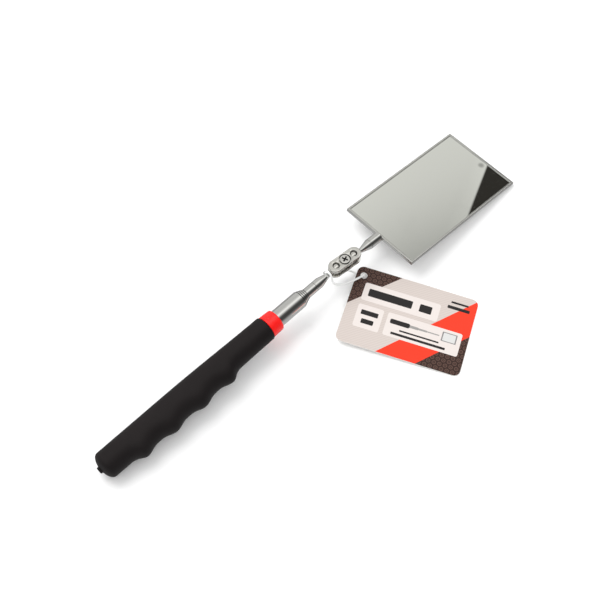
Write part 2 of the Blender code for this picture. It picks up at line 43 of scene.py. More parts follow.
print("frame loaded:", len(frame["nodes"]), "nodes")


# where things are

def placeAt(origin, along, upward):
    # X runs along the part, Z is as near to upward as X allows
    x = Vector(along).normalized()
    y = Vector(upward).cross(x).normalized()
    place = Matrix((x, y, x.cross(y))).transposed().to_4x4()
    place.translation = Vector(origin)
    return place


handleAxis = Vector(joints["section_1_slide"]["axis"])
clampNormal = Vector(joints["mirror_swing"]["axis"])
rodBall = Vector(joints["rod_spin"]["pos_m"])
mirrorBall = Vector(joints["mirror_spin"]["pos_m"])
mirrorBack = frame["record"]["mounts"][0]
ballPlace = 0.16485  # from the tip of the butt to the first ball
handlePlace = placeAt(rodBall, handleAxis, (0, 0, 1)) @ Matrix.Translation((-ballPlace, 0, 0))
rodPinPlace = placeAt(rodBall, -handleAxis, (0, 0, 1))
clampPlace = placeAt((rodBall + mirrorBall) / 2, mirrorBall - rodBall, clampNormal)
underBall = Matrix.Translation((rodBall.x, rodBall.y, 0))
headPlace = placeAt(mirrorBall, joints["mirror_spin"]["axis"], -Vector(mirrorBack["axis"]))


# camera

cameraLook = {
    "position": (-0.20465, -0.19742, 0.50863),
    "azimuth": -45.75,
    "elevation": 60.81,
    "roll": 2.16,
    "lens": 62.68,
    "sensor": 36.0,
}


def makeCamera(look):
    data = bpy.data.cameras.new("camera")
    data.lens = look["lens"]
    data.sensor_width = look["sensor"]
    data.clip_start = 0.01
    camera = bpy.data.objects.new("camera", data)
    bpy.context.scene.collection.objects.link(camera)
    turn = Matrix.Rotation(math.radians(look["azimuth"]), 4, "Z")
    rise = Matrix.Rotation(math.radians(90 - look["elevation"]), 4, "X")
    roll = Matrix.Rotation(math.radians(look["roll"]), 4, "Z")
    camera.matrix_world = Matrix.Translation(look["position"]) @ turn @ rise @ roll
    bpy.context.scene.camera = camera


makeCamera(cameraLook)
print("camera placed")


# shader expressions

class Value:
    def __init__(self, recipe, socket):
        self.recipe, self.socket = recipe, socket

    def math(self, operation, *terms):
        return self.recipe.node("ShaderNodeMath", {"operation": operation}, dict(enumerate(terms)))

    def __add__(self, other):
        return self.math("ADD", self, other)

    __radd__ = __add__

    def __sub__(self, other):
        return self.math("SUBTRACT", self, other)

    def __rsub__(self, other):
        return self.math("SUBTRACT", other, self)

    def __mul__(self, other):
        return self.math("MULTIPLY", self, other)

    __rmul__ = __mul__

    def __truediv__(self, other):
        return self.math("DIVIDE", self, other)

    def __gt__(self, other):
        return self.math("GREATER_THAN", self, other)

    def __lt__(self, other):
        return self.math("LESS_THAN", self, other)

    def __abs__(self):
        return self.math("ABSOLUTE", self)

    def __pow__(self, other):
        return self.math("POWER", self, other)

    def least(self, other):
        return self.math("MINIMUM", self, other)

    def most(self, other):
        return self.math("MAXIMUM", self, other)

    def fraction(self):
        return self.math("FRACT", self)

    def whole(self):
        return self.math("FLOOR", self)


class Recipe:
    # one material and its node tree
    def __init__(self, name, colour=(0.8, 0.8, 0.8), roughness=0.5, metallic=0.0, **fixed):
        self.material = bpy.data.materials.new(name)
        self.material.use_nodes = True
        self.tree = self.material.node_tree
        self.shader = self.tree.nodes["Principled BSDF"]
        self.set("Base Color", (*colour, 1.0))
        self.set("Roughness", roughness)
        self.set("Metallic", metallic)
        for socket, value in fixed.items():
            self.set(socket.replace("_", " "), value)

    def set(self, socket, value):
        self.feed(self.shader.inputs[socket], value)

    def feed(self, socket, value):
        if isinstance(value, Value):
            self.tree.links.new(value.socket, socket)
        else:
            socket.default_value = value

    def node(self, kind, settings, inputs, output=0):
        node = self.tree.nodes.new(kind)
        for name, value in settings.items():
            if name == "stops":
                ramp = node.color_ramp.elements
                while len(ramp) < len(value):
                    ramp.new(0.5)
                for element, (position, colour) in zip(ramp, value):
                    element.position, element.color = position, colour
            else:
                setattr(node, name, value)
        for name, value in inputs.items():
            self.feed(node.inputs[name], value)
        return Value(self, node.outputs[output])

    def here(self):
        return self.node("ShaderNodeTexCoord", {}, {}, "Object")

    def placed(self, place, size=(1, 1, 1)):
        # object coordinates seen from a part's own frame
        inputs = {
            "Vector": self.here(),
            "Location": place.translation,
            "Rotation": place.to_euler(),
            "Scale": size,
        }
        return self.node("ShaderNodeMapping", {"vector_type": "TEXTURE"}, inputs)

    def split(self, vector):
        first = self.node("ShaderNodeSeparateXYZ", {}, {0: vector})
        return [Value(self, socket) for socket in first.socket.node.outputs]

    def noise(self, vector, scale, detail=2.0, roughness=0.5):
        inputs = {"Vector": vector, "Scale": scale, "Detail": detail, "Roughness": roughness}
        return self.node("ShaderNodeTexNoise", {}, inputs, 0)

    def blend(self, amount, under, over):
        # a plain colour gets its alpha here
        under, over = [(*c, 1.0) if isinstance(c, tuple) else c for c in (under, over)]
        return self.node("ShaderNodeMix", {"data_type": "RGBA"}, {0: amount, 6: under, 7: over}, 2)

    def bump(self, height, strength, distance):
        inputs = {"Strength": strength, "Distance": distance, "Height": height}
        self.set("Normal", self.node("ShaderNodeBump", {}, inputs))


# finishes

def gripRubber():
    look = {
        "dark": (0.0065, 0.0046, 0.0048),
        "light": (0.0130, 0.0095, 0.0100),
        "grain": 2600,  # noise scales, per metre
        "cloud": 60,
    }
    recipe = Recipe("grip_rubber", roughness=0.5, Specular_IOR_Level=0.28)
    here = recipe.placed(handlePlace)
    grain = recipe.noise(here, look["grain"], 3.0, 0.6)
    cloud = recipe.noise(here, look["cloud"], 2.0)
    recipe.set("Base Color", recipe.blend(cloud * 0.6 + grain * 0.4, look["dark"], look["light"]))
    recipe.set("Roughness", 0.44 + grain * 0.16 + cloud * 0.06)
    pores = recipe.noise(here, look["grain"] * 0.4, 1.0)
    recipe.bump(grain * 0.7 + pores * 0.5, 0.30, 0.00010)
    return recipe.material


def redGloss():
    recipe = Recipe("red_gloss", (0.86, 0.006, 0.005), 0.16, Coat_Weight=0.3, Coat_Roughness=0.08)
    here = recipe.placed(handlePlace)
    mottle = recipe.noise(here, 420, 3.0)
    recipe.set("Base Color", recipe.blend(mottle, (0.80, 0.004, 0.004), (0.92, 0.010, 0.007)))
    recipe.set("Roughness", 0.13 + mottle * 0.10)
    recipe.bump(mottle, 0.05, 0.00005)
    return recipe.material


platings = {  # colour, its shade in the clouds, roughness, how far that varies, depth of the lines
    "chrome_handle": ((0.86, 0.86, 0.85), (0.74, 0.74, 0.72), 0.05, 0.07, 0.10),
    "chrome_head": ((0.86, 0.86, 0.85), (0.74, 0.74, 0.72), 0.05, 0.08, 0.10),
    "chrome_frame": ((0.80, 0.80, 0.78), (0.68, 0.68, 0.66), 0.10, 0.10, 0.04),
    "nickel_clamp": ((0.88, 0.87, 0.83), (0.78, 0.77, 0.73), 0.10, 0.09, 0.10),
    "nickel_screw": ((0.90, 0.89, 0.86), (0.80, 0.79, 0.76), 0.08, 0.08, 0.08),
    # painted shade: a dark plating for hollows, gaps and tube mouths, where shade falls
    "painted_shade": ((0.075, 0.072, 0.066), (0.030, 0.029, 0.027), 0.34, 0.10, 0.10),
    # painted shade and painted reflection: a dark band on the frame's lip walls beside the glass
    "painted_lip_shade": ((0.085, 0.083, 0.078), (0.045, 0.044, 0.041), 0.30, 0.10, 0.05),
    "brass_turned": ((0.70, 0.50, 0.21), (0.56, 0.38, 0.15), 0.24, 0.12, 0.25),
}


def plated(name, place):
    # bright plating with fine turning lines round the part's own X axis
    colour, shade, roughness, spread, lines = platings[name]
    recipe = Recipe(name, colour, roughness, 1.0)
    here = recipe.placed(place)
    rings = recipe.noise(recipe.placed(place, (0.00016, 0.02, 0.02)), 1.0, 3.0, 0.7)
    cloud = recipe.noise(here, 170, 3.0)
    specks = recipe.noise(here, 2400, 2.0)
    recipe.set("Base Color", recipe.blend(cloud * 0.7 + specks * 0.3, colour, shade))
    recipe.set("Roughness", roughness + cloud * spread + rings * spread * 0.6)
    recipe.bump(rings * 0.8 + specks * 0.2, lines, 0.00002)
    return recipe.material


def mirrorSilver():
    recipe = Recipe("mirror_silver", (0.90, 0.91, 0.90), 0.008, 1.0)
    here = recipe.placed(headPlace)
    smudge = recipe.noise(here, 38, 4.0, 0.6)
    dust = recipe.noise(here, 3200, 1.0)
    veil = ((smudge - 0.56) * 3.0).most(0.0).least(1.0)
    recipe.set("Roughness", 0.006 + veil * 0.05 + (dust > 0.74) * 0.12)
    recipe.set("Base Color", recipe.blend(veil * 0.3, (0.91, 0.92, 0.91), (0.80, 0.81, 0.80)))
    return recipe.material


def moulded(name, colour, roughness, **fixed):
    recipe = Recipe(name, colour, roughness, **fixed)
    here = recipe.here()
    fine = recipe.noise(here, 1800, 2.0)
    recipe.set("Roughness", roughness - 0.05 + fine * 0.1)
    recipe.bump(fine, 0.08, 0.00004)
    return recipe.material


def fibreCard():
    recipe = Recipe("fibre_card", (0.42, 0.34, 0.24), 0.85)
    fibres = recipe.noise(recipe.placed(headPlace, (0.004, 0.0006, 0.002)), 1.0, 4.0, 0.7)
    recipe.set("Base Color", recipe.blend(fibres, (0.34, 0.27, 0.18), (0.50, 0.42, 0.30)))
    recipe.bump(fibres, 0.3, 0.00008)
    return recipe.material


# the tag's printed face

tagLook = {
    "corner": (0.0163, -0.0030),
    "turn": -61.5,
    "lean": 2.3,
    "length": 69.0,  # from here on in millimetres
    "width": 48.5,
    "thickness": 0.5,
    "rest": 0.05,
    "dark": (0.030, 0.012, 0.0085),
    "ring": (0.125, 0.068, 0.052),
    "red": (0.80, 0.036, 0.010),
    "ground": (0.58, 0.515, 0.48),
    "stripe": (0.51, 0.445, 0.41),
    "panel": (0.70, 0.64, 0.61),
    "ink": (0.016, 0.014, 0.014),
    "ringPitch": 3.1,
}


def tagPlace(look):
    lift = (look["length"] * math.sin(math.radians(look["lean"])) + look["rest"]) / 1000
    place = underBall @ Matrix.Translation((*look["corner"], lift))
    place = place @ Matrix.Rotation(math.radians(look["turn"]), 4, "Z")
    return place @ Matrix.Rotation(math.radians(look["lean"]), 4, "Y")


def tagPrint(look):
    recipe = Recipe("tag_print", look["ground"], 0.34, Specular_IOR_Level=0.3)
    across, down, through = recipe.split(recipe.placed(tagPlace(look), (0.001, -0.001, 0.001)))
    length, width = look["length"], look["width"]

    def panel(left, right, top, bottom, corner):
        # 1 inside a box with round corners, given as shares of the card
        x = abs(across - (left + right) / 2 * length) - ((right - left) / 2 * length - corner)
        y = abs(down - (top + bottom) / 2 * width) - ((bottom - top) / 2 * width - corner)
        x, y = x.most(0.0), y.most(0.0)
        return (x * x + y * y) < corner * corner

    def half(fromPoint, toPoint):
        # 1 on the side of a line that lies towards the card's far corner
        (u0, v0), (u1, v1) = fromPoint, toPoint
        run, drop = (u1 - u0) * length, (v1 - v0) * width
        side = (across - u0 * length) * drop - (down - v0 * width) * run
        return side > 0.0

    # rings in staggered rows over the dark corners
    pitch = look["ringPitch"]
    rowStep = pitch * 0.866
    row = (down / rowStep).whole()
    stagger = (row * 0.5).fraction()
    x = ((across / pitch + stagger).fraction() - 0.5) * pitch
    y = ((down / rowStep).fraction() - 0.5) * rowStep
    reach = (x * x + y * y) ** 0.5
    rings = abs(reach - 0.95) < 0.24
    dots = reach < 0.3
    dark = recipe.blend((rings.most(dots)) * 0.8, look["dark"], look["ring"])

    # faint slanting stripes on the light ground
    stripes = ((across * 0.8 + down) / 1.7).fraction()
    ground = recipe.blend((stripes < 0.4) * 0.5, look["ground"], look["stripe"])
    colour = recipe.blend(half((1.0, 0.0), (0.33, 1.0)), ground, look["red"])
    colour = recipe.blend(half((1.0, 0.48), (0.65, 1.0)), colour, dark)
    colour = recipe.blend(1 - half((0.36, 0.0), (0.0, 0.52)), colour, dark)

    panels = panel(0.095, 0.72, 0.19, 0.42, 1.2).most(panel(0.095, 0.305, 0.475, 0.77, 1.2))
    panels = panels.most(panel(0.34, 0.945, 0.475, 0.77, 1.2))
    colour = recipe.blend(panels, colour, look["panel"])

    # blank bars where words would be
    ink = panel(0.14, 0.50, 0.255, 0.355, 0.5).most(panel(0.56, 0.66, 0.255, 0.355, 0.5))
    ink = ink.most(panel(0.13, 0.27, 0.54, 0.60, 0.4)).most(panel(0.15, 0.25, 0.65, 0.71, 0.4))
    ink = ink.most(panel(0.46, 0.78, 0.655, 0.675, 0.2)).most(panel(0.40, 0.84, 0.705, 0.735, 0.2))
    ink = ink.most(panel(0.79, 0.93, 0.10, 0.125, 0.2)).most(panel(0.77, 0.95, 0.16, 0.20, 0.2))
    colour = recipe.blend(ink, colour, look["ink"])

    # a little drawing of the tool: grip, three tubes and mirror
    drawing = panel(0.37, 0.53, 0.545, 0.605, 0.9)
    colour = recipe.blend(drawing, colour, look["ink"])
    tubes = panel(0.53, 0.60, 0.558, 0.592, 0.1).most(panel(0.60, 0.67, 0.563, 0.587, 0.1))
    tubes = tubes.most(panel(0.67, 0.77, 0.568, 0.582, 0.1))
    colour = recipe.blend(tubes, colour, (0.30, 0.29, 0.28))
    colour = recipe.blend(panel(0.79, 0.91, 0.51, 0.63, 0.3), colour, (0.22, 0.21, 0.21))
    colour = recipe.blend(panel(0.80, 0.90, 0.52, 0.62, 0.2), colour, (0.62, 0.62, 0.61))

    front = through > look["thickness"] * 0.9
    fibre = recipe.noise(recipe.here(), 2600, 3.0)
    paper = recipe.blend(fibre, (0.78, 0.76, 0.72), (0.86, 0.84, 0.80))
    recipe.set("Base Color", recipe.blend(front, paper, colour))
    recipe.set("Roughness", 0.62 - front * 0.34 + fibre * 0.08)
    recipe.bump(fibre + panels * 0.3, 0.06, 0.00003)
    return recipe.material


# shapes

def arcPoints(centre, radius, start, end, steps):
    angles = [math.radians(start + (end - start) * step / steps) for step in range(steps + 1)]
    return [(centre[0] + radius * math.cos(a), centre[1] + radius * math.sin(a)) for a in angles]


mergeDistance = 1e-6


def turnOutwards(bm):
    bmesh.ops.remove_doubles(bm, verts=bm.verts, dist=mergeDistance)
    bmesh.ops.recalc_face_normals(bm, faces=bm.faces)
    if bm.calc_volume(signed=True) < 0:
        bmesh.ops.reverse_faces(bm, faces=bm.faces)
    return bm


def spun(profile, sides=96, closed=False):
    # (place, radius) points turned about X
    bm = bmesh.new()
    verts = [bm.verts.new((place, 0.0, radius)) for place, radius in profile]
    edges = [bm.edges.new(pair) for pair in zip(verts, verts[1:])]
    if closed:
        edges.append(bm.edges.new((verts[-1], verts[0])))
    bmesh.ops.spin(
        bm, geom=verts + edges, cent=(0, 0, 0), axis=(1, 0, 0), angle=math.tau,
        steps=sides, use_merge=True,
    )
    return turnOutwards(bm)


def paintShadeFaces(bm, test):
    # faces that pass the test, in hollows and gaps where shade falls, take the piece's second material, a painted
    # shade
    for face in bm.faces:
        if test(face.calc_center_median(), face.normal):
            face.material_index = 1


def makePiece(name, bm, place, material, body, nodes=(), sharp=35):
    bmesh.ops.transform(bm, matrix=place, verts=bm.verts)
    mesh = bpy.data.meshes.new(name)
    bm.to_mesh(mesh)
    bm.free()
    mesh.shade_smooth()
    mesh.set_sharp_from_angle(angle=math.radians(sharp))
    mesh.materials.append(material)
    piece = bpy.data.objects.new(name, mesh)
    bpy.context.scene.collection.objects.link(piece)
    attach(piece, body)
    if nodes:
        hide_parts(*nodes)
    return piece


def smoothCopy(node, material, body, sharp=32):
    # a CAD node's own shape with its round faces shaded smooth
    bm = bmesh.new()
    bm.from_mesh(frame["nodes"][node].data)
    bmesh.ops.remove_doubles(bm, verts=bm.verts, dist=mergeDistance)
    here = Matrix.Identity(4)
    makePiece(node + "_smooth", bm, here, material, body, (node,), sharp)


def joined(bm, other):
    # other's faces added to bm
    mesh = bpy.data.meshes.new("joined")
    other.to_mesh(mesh)
    other.free()
    bm.from_mesh(mesh)
    bpy.data.meshes.remove(mesh)


def dress(node, material):
    mesh = frame["nodes"][node].data
    mesh.materials.clear()
    mesh.materials.append(material)
    for polygon in mesh.polygons:
        polygon.material_index = 0


chromeHandle = plated("chrome_handle", handlePlace)
chromeHead = plated("chrome_head", headPlace)
chromeFrame = plated("chrome_frame", headPlace)
nickelClamp = plated("nickel_clamp", clampPlace)
nickelScrew = plated("nickel_screw", clampPlace)
# painted shade, the dark second material of the tubes, plates and screw
paintedShade = plated("painted_shade", clampPlace)
# painted shade and painted reflection along the frame's lip
paintedLipShade = plated("painted_lip_shade", headPlace)
rubber = gripRubber()
red = redGloss()
silver = mirrorSilver()
brass = plated("brass_turned", handlePlace)
natural = moulded("natural_plastic", (0.62, 0.60, 0.55), 0.5)
filament = moulded("loop_filament", (0.95, 0.96, 0.95), 0.3, Transmission_Weight=0.15, IOR=1.48)


# stage: floor, lamps and the cards that the metal mirrors

def makeStage():
    look = {
        "floorSize": 6.0,
        "world": 1.0,
        "keyPower": 4.5,  # watts
        "keySize": 0.6,
        "keyPlace": (-0.1, 0.5, 0.7),
    }
    world = bpy.data.worlds.new("studio")
    world.use_nodes = True
    background = world.node_tree.nodes["Background"]
    background.inputs["Color"].default_value = (1.0, 1.0, 1.0, 1.0)
    background.inputs["Strength"].default_value = look["world"]
    bpy.context.scene.world = world
    bpy.context.scene.view_settings.view_transform = "Standard"
    bm = bmesh.new()
    bmesh.ops.create_grid(bm, x_segments=1, y_segments=1, size=look["floorSize"])
    floor = bpy.data.meshes.new("floor")
    bm.to_mesh(floor)
    bm.free()
    pale = Recipe("floor_pale", (0.93, 0.93, 0.93), 0.9)
    floor.materials.append(pale.material)
    obj = bpy.data.objects.new("floor", floor)
    bpy.context.scene.collection.objects.link(obj)
    lamp = bpy.data.lights.new("key", "AREA")
    lamp.energy = look["keyPower"]
    lamp.size = look["keySize"]
    key = bpy.data.objects.new("key", lamp)
    key.visible_glossy = False
    bpy.context.scene.collection.objects.link(key)
    key.matrix_world = placeAt(look["keyPlace"], (1, 0, 0), look["keyPlace"])


def makeReflection(name, bm, place, recipe, colour):
    # a glowing sheet that only reflections see
    mesh = bpy.data.meshes.new(name)
    bm.to_mesh(mesh)
    bm.free()
    recipe.set("Specular IOR Level", 0.0)
    recipe.set("Emission Strength", 1.0)
    recipe.set("Emission Color", colour)
    mesh.materials.append(recipe.material)
    sheet = bpy.data.objects.new(name, mesh)
    bpy.context.scene.collection.objects.link(sheet)
    sheet.matrix_world = place
    sheet.visible_camera = False
    sheet.visible_diffuse = False
    sheet.visible_shadow = False
    sheet.visible_transmission = False


tentLook = {
    "radius": 1.2,
    "length": 4.0,
    # the tent's glow by angle, in degrees from straight above, from the tag's side to the other
    "glow": (
        (-88, 0.16), (-72, 0.065), (-46, 0.06), (-30, 0.15), (-17, 0.60),
        (-6, 1.0), (5, 1.0), (17, 0.72), (32, 0.56), (90, 0.60),
    ),
    "ends": 0.07,
    "ribSteps": 48,
    # the floor's sheen by distance from the middle line
    "floor": ((0.0, 0.52), (0.05, 0.40), (0.18, 0.22), (1.0, 0.30)),
    "floorHeight": 0.0002,
    "tint": (1.0, 0.995, 0.97),
}


def makeTent(look):
    # a long studio tent over the tool, pale on one side and dark on the other
    half = look["length"] / 2
    arch = arcPoints((0, 0), look["radius"], 0, 180, look["ribSteps"])
    bm = bmesh.new()
    ribs = [[bm.verts.new((x, y, z)) for y, z in arch] for x in (-half, half)]
    for a, b, c, d in zip(ribs[0], ribs[0][1:], ribs[1][1:], ribs[1]):
        bm.faces.new((a, b, c, d))
    recipe = Recipe("tent_glow", (0, 0, 0), 1.0)
    aside, above = recipe.split(recipe.here())[1:]
    angle = recipe.node("ShaderNodeMath", {"operation": "ARCTAN2"}, {0: aside, 1: above})
    stops = []
    for degrees, glow in look["glow"]:
        stops.append((degrees / 180 + 0.5, (*(glow * part for part in look["tint"]), 1.0)))
    ramp = recipe.node("ShaderNodeValToRGB", {"stops": stops}, {"Fac": angle / math.pi + 0.5})
    makeReflection("tent", bm, Matrix.Identity(4), recipe, ramp)
    for name, x in (("tent_near_end", -half), ("tent_far_end", half)):
        bm = bmesh.new()
        bm.faces.new([bm.verts.new((x, y, z)) for y, z in arch])
        recipe = Recipe(name, (0, 0, 0), 1.0)
        makeReflection(name, bm, Matrix.Identity(4), recipe, (*(look["ends"],) * 3, 1.0))
    bm = bmesh.new()
    bmesh.ops.create_grid(bm, x_segments=1, y_segments=1, size=half)
    recipe = Recipe("floor_glow", (0, 0, 0), 1.0)
    aside = recipe.split(recipe.here())[1]
    stops = [(place, (glow, glow, glow, 1.0)) for place, glow in look["floor"]]
    ramp = recipe.node("ShaderNodeValToRGB", {"stops": stops}, {"Fac": abs(aside)})
    lift = Matrix.Translation((0, 0, look["floorHeight"]))
    makeReflection("floor_sheen", bm, lift, recipe, ramp)


wallLook = {
    "reach": 0.0208, "length": 0.0900, "width": 0.0500, "height": 0.0008,
    "depth": 2.0,  # how many times farther than the mirror it stands, seen from the mirrored eye
    "margin": 1.5,
    "pale": 0.66,
    "fade": 0.27,
    "tint": (1.0, 1.0, 0.93),
    "dark": (0.030, 0.028, 0.024),
    # from here on, places are shares of the mirror's length and width
    "doorCorner": (1.0, 0.608),
    "doorSlope": (0.392, 0.485),
    "doorEdge": 0.012,
    "glowReach": 0.10,
    "glow": 0.05,
    "spot": (0.949, 0.575),
    "spotRadius": 0.030,
    "spotDepth": 0.45,
}


def makeWall(look):
    # the pale wall that the mirror shows, with a dark doorway over its far corner
    face = headPlace @ Matrix.Translation((look["reach"] + look["length"] / 2, 0, look["height"]))
    eye = face.inverted() @ Vector(cameraLook["position"])
    depth = look["depth"]
    stand = Matrix.Translation(Vector((eye.x, eye.y, -eye.z)) * (1 - depth))
    bm = bmesh.new()
    bmesh.ops.create_grid(bm, x_segments=1, y_segments=1, size=0.5)
    span = (look["length"] * depth * look["margin"], look["width"] * depth * look["margin"], 1)
    bmesh.ops.scale(bm, vec=span, verts=bm.verts)
    recipe = Recipe("wall_glow", (0, 0, 0), 1.0)
    x, y = recipe.split(recipe.here())[:2]
    along = x / (look["length"] * depth) + 0.5
    across = 0.5 - y / (look["width"] * depth)
    low = across.most(0.0).least(1.0)
    shade = look["pale"] - low ** 1.5 * look["fade"] * (1 - along * 0.72)
    (cornerX, cornerY), (slopeX, slopeY) = look["doorCorner"], look["doorSlope"]
    inside = (along - cornerX) * slopeX + (across - cornerY) * slopeY
    edge = (inside / look["doorEdge"] + 0.5).most(0.0).least(1.0)
    glow = (inside / look["glowReach"] + 1.0).most(0.0).least(1.0)
    aspect = look["length"] / look["width"]
    spotX, spotY = (along - look["spot"][0]) * aspect, across - look["spot"][1]
    reach = (spotX * spotX + spotY * spotY) ** 0.5
    spot = (1.6 - reach / look["spotRadius"]).most(0.0).least(1.0)
    shade = (shade + glow * look["glow"]) * (1 - spot * look["spotDepth"])
    pale = recipe.blend(shade, (0.0, 0.0, 0.0), look["tint"])
    makeReflection("wall", bm, face @ stand, recipe, recipe.blend(edge, pale, look["dark"]))


makeStage()
makeTent(tentLook)
makeWall(wallLook)
print("stage ready")

# grip

gripLook = {
    "length": 0.1132, "domeLength": 0.0050, "domeDepth": 0.0040,
    "rear": 0.0076, "belly": 0.0078, "front": 0.0070, "bellyPlace": 0.055, "frontRound": 0.0008,
    "firstCrest": 0.0229, "pitch": 0.0193, "crests": 4,
    "trough": 0.00105, "crest": 0.0031, "runout": 0.0085,
    "nubRadius": 0.0019, "nubHeight": 0.0010, "nubRound": 0.0006, "vent": 0.0008, "ventLip": 0.0002,
    "bore": 0.00515, "boreEnd": 0.0069, "boreSkin": 0.0004,
    "steps": 150, "sides": 112,
}


def ease(amount):
    amount = min(max(amount, 0.0), 1.0)
    return amount * amount * (3 - 2 * amount)


def gripRadius(look, place):
    # the round body under the finger crests
    belly = look["bellyPlace"]
    if place < belly:
        share = ease((place - look["domeLength"]) / (belly - look["domeLength"]))
        radius = look["rear"] + (look["belly"] - look["rear"]) * share
    else:
        share = ease((place - belly) / (look["length"] - belly))
        radius = look["belly"] + (look["front"] - look["belly"]) * share
    if place < look["domeLength"]:
        short = (look["domeLength"] - place) / look["domeDepth"]
        radius *= math.sqrt(max(1 - short ** 2, 0.0))
    over = place - look["length"] + look["frontRound"]
    if over > 0:
        past = over / look["frontRound"]
        radius -= look["frontRound"] * (1 - math.sqrt(max(1 - past ** 2, 0.0)))
    return radius


def crestHeight(look, place):
    first = look["firstCrest"]
    last = first + (look["crests"] - 1) * look["pitch"]
    if not first - look["pitch"] / 2 < place < last + look["pitch"] / 2:
        return 0.0
    ends = ease((place - first) / look["runout"] + 1) * ease((last - place) / look["runout"] + 1)
    wave = (0.5 + 0.5 * math.cos(math.tau * (place - first) / look["pitch"])) ** 1.5
    return ends * (look["trough"] + (look["crest"] - look["trough"]) * wave)


def buildGrip(look):
    domeLength, vent, lip = look["domeLength"], look["vent"], look["ventLip"]
    nub, soft = look["nubRadius"], look["nubRound"]
    pole = domeLength - look["domeDepth"]
    tip = pole - look["nubHeight"]
    front = look["length"] - look["frontRound"]
    profile = [(look["boreEnd"], vent), (tip + lip, vent), (tip, vent + lip)]
    profile += arcPoints((tip + soft, nub - soft), soft, 170, 95, 4)
    profile += [(pole - 0.0001, nub), (pole + 0.0002, nub * 1.15)]
    places = []
    for angle in range(28, 90, 4):  # round the dome
        places.append(domeLength - look["domeDepth"] * math.cos(math.radians(angle)))
    for step in range(look["steps"]):
        places.append(domeLength + (front - domeLength) * step / look["steps"])
    for angle in range(0, 91, 15):  # over the front edge
        places.append(look["length"] - look["frontRound"] * (1 - math.sin(math.radians(angle))))
    profile += [(place, gripRadius(look, place)) for place in places]
    profile += [(look["length"], look["bore"]), (look["boreEnd"], look["bore"])]
    bm = spun(profile, look["sides"], closed=True)
    for vert in bm.verts:
        reach = math.hypot(vert.co.y, vert.co.z)
        if reach > look["bore"] + look["boreSkin"]:
            side = max(-vert.co.y / reach, 0.0)
            grow = 1 + crestHeight(look, vert.co.x) * side * side / reach
            vert.co.y *= grow
            vert.co.z *= grow
    makePiece("grip_skin", bm, handlePlace, rubber, "handle", ("grip_sleeve",))


buildGrip(gripLook)
print("grip built")


# collar ring and tubes

ringLook = {
    "start": 0.1133, "length": 0.0075, "rear": 0.00655, "front": 0.0063, "bore": 0.00515,
    "rounds": (0.0004, 0.0013), "sides": 112,
}
tubeLook = {
    "radius": 0.0050, "step": 0.0005, "wall": 0.00025, "sections": 4, "travel": 0.1205,
    "rear": 0.0070, "mouth": 0.1383, "stagger": 0.00125, "tip": 0.0068, "tipSoft": 0.00012,
    "gap": 0.0001, "lip": 0.0008, "lipGap": 0.00012,
    "sleeve": 0.0040, "flange": 0.0004, "sleeveGap": 0.00004,
    "nose": (0.00085, 0.00030), "noseSteps": 6, "rim": 0.00036, "sides": 112,
}


def buildRing(look):
    rearRound, frontRound = look["rounds"]
    start, end = look["start"], look["start"] + look["length"]
    profile = [(start, look["bore"])]
    profile += arcPoints((start + rearRound, look["rear"] - rearRound), rearRound, 180, 90, 4)
    profile += arcPoints((end - frontRound, look["front"] - frontRound), frontRound, 90, 0, 10)
    profile += [(end, look["bore"])]
    bm = spun(profile, look["sides"], closed=True)
    makePiece("ring_gloss", bm, handlePlace, red, "handle", ("collar_ring",))


def tubeMouth(look, index):
    if index == look["sections"]:
        return look["mouth"] + (index - 1) * look["stagger"] + look["tip"] - 2 * look["gap"]
    return look["mouth"] + index * look["stagger"]


def buildTube(look, index):
    outer = look["radius"] - index * look["step"]
    bore, mouth = outer - look["wall"], tubeMouth(look, index)
    if index == 0:
        profile = [(look["rear"], bore), (look["rear"], outer)]
    else:
        stop = tubeMouth(look, index - 1) - look["lip"] - look["gap"] - look["travel"]
        rear = stop - look["sleeve"] - look["flange"] - look["gap"]
        flange = outer + look["step"] - look["wall"] - look["sleeveGap"]
        front = rear + look["flange"]
        profile = [(rear, bore), (rear, flange), (front, flange), (front, outer)]
    if index < look["sections"]:
        lipBore = outer - look["step"] + look["lipGap"]
        noseLength, noseDrop = look["nose"]  # the end is rolled in round the next tube
        for step in range(look["noseSteps"] + 1):
            share = step / look["noseSteps"]
            profile.append((mouth - noseLength * (1 - share), outer - noseDrop * share ** 1.3))
        inner = mouth - look["lip"]
        profile += [(mouth, lipBore), (inner, lipBore), (inner, bore)]
    else:
        soft = look["tipSoft"]
        profile += [(mouth - soft, outer), (mouth, outer - soft), (mouth, bore)]
    node = "outer_tube" if index == 0 else f"section_{index}_tube"
    body = "handle" if index == 0 else f"section_{index}"
    bm = spun(profile, look["sides"], closed=True)
    rim = mouth - look["rim"]
    if index < look["sections"]:  # a dark line of painted shade round each mouth
        paintShadeFaces(bm, lambda middle, normal: middle.x > rim)
    piece = makePiece(node + "_chrome", bm, handlePlace, chromeHandle, body, (node,))
    piece.data.materials.append(paintedShade)


buildRing(ringLook)
for index in range(tubeLook["sections"] + 1):
    buildTube(tubeLook, index)
for index in range(1, tubeLook["sections"] + 1):
    smoothCopy(f"section_{index}_sleeve", brass, f"section_{index}")
smoothCopy("rear_plug", natural, "handle")
print("ring and tubes built")


# ball pins

pinLook = {
    "ball": 0.0030, "seatGap": 0.00012, "neck": 0.00125, "neckEnd": 0.0055, "fillet": 0.0006,
    "coneEnd": 0.0125, "shank": 0.0030, "collar": 0.0036, "collarSoft": 0.00012,
    "spigotLength": 0.0050, "spigotGap": 0.00015,  # of the rod's pin, in the innermost tube
    "studRadius": 0.00155, "studEnd": 0.0154,  # of the mirror's pin, in its shank
}


